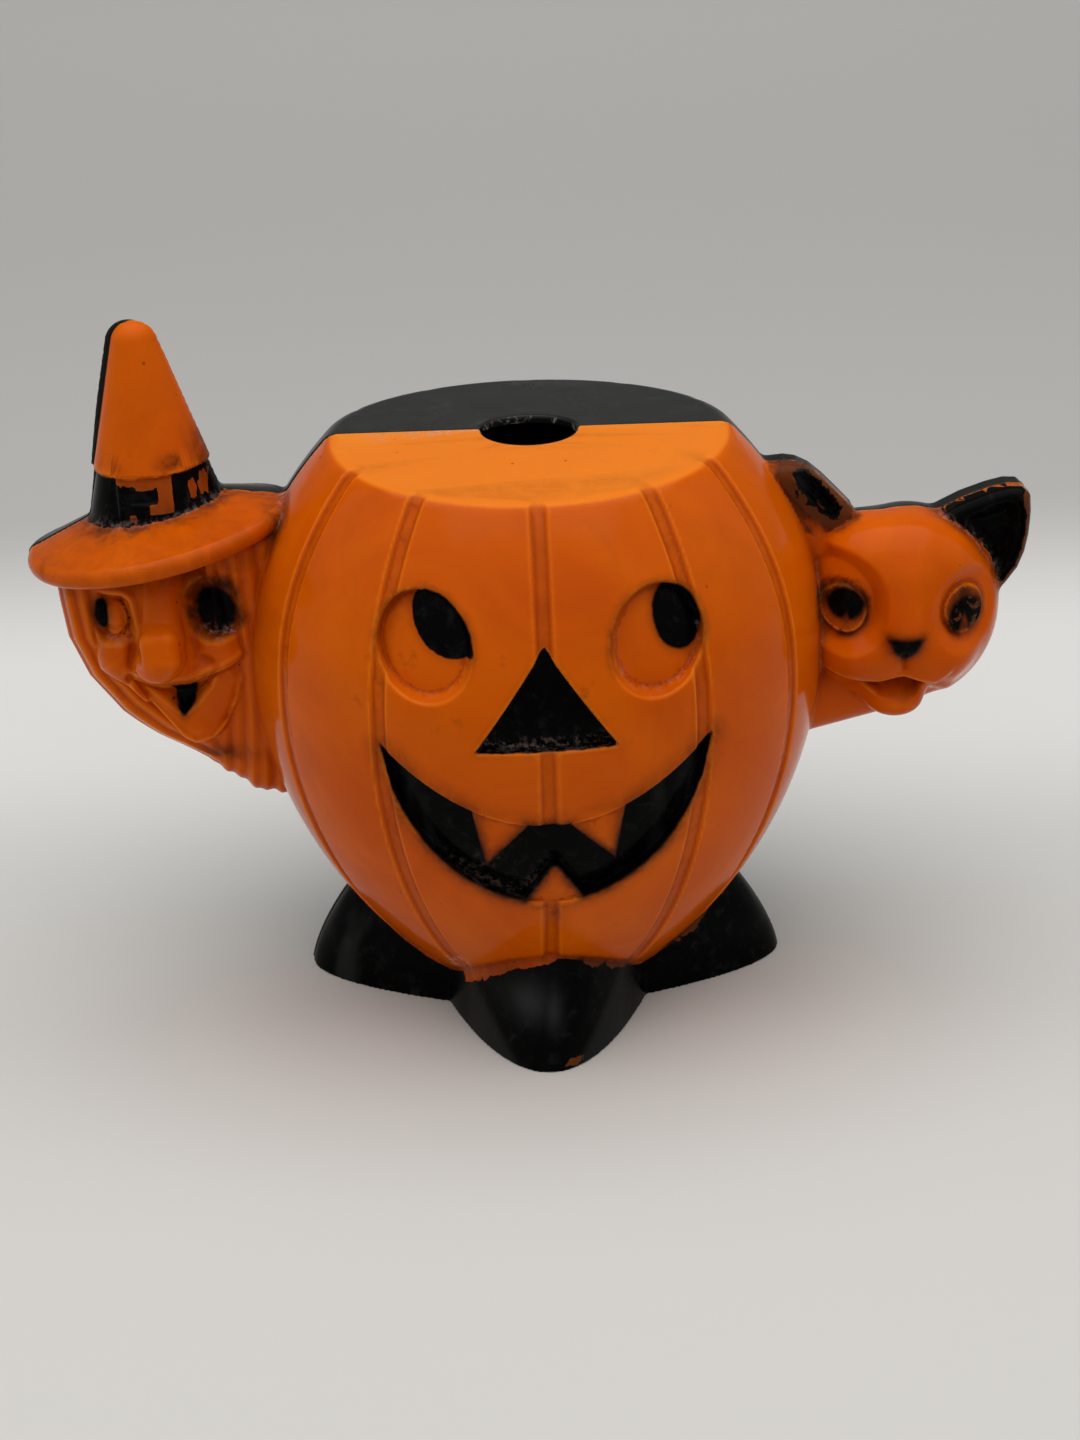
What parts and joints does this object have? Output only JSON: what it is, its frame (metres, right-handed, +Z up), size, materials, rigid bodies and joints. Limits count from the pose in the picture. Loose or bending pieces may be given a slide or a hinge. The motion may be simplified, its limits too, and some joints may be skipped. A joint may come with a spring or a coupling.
{
  "type": "halloween candy container",
  "caption": "Hollow pumpkin on pointed feet with a witch's head and a cat's head at its sides, moulded in two half shells.",
  "frame": {"origin": "on the floor, under the middle of the whole container's bounding box", "axes": "+X from the witch to the cat, -Y out of the front with the faces, +Z up"},
  "size_m": [0.1536, 0.0886, 0.1083],
  "materials": {
    "orange_plastic": "glossy moulded polystyrene, slightly cloudy, with worn black paint on the features",
    "black_plastic": "glossy moulded polystyrene with dust and fine scratches",
    "board": "plain matt board"
  },
  "bodies": {
    "root": {"front_shell": "orange_plastic", "rear_shell": "black_plastic", "base_disc": "board"}
  },
  "joints": []
}
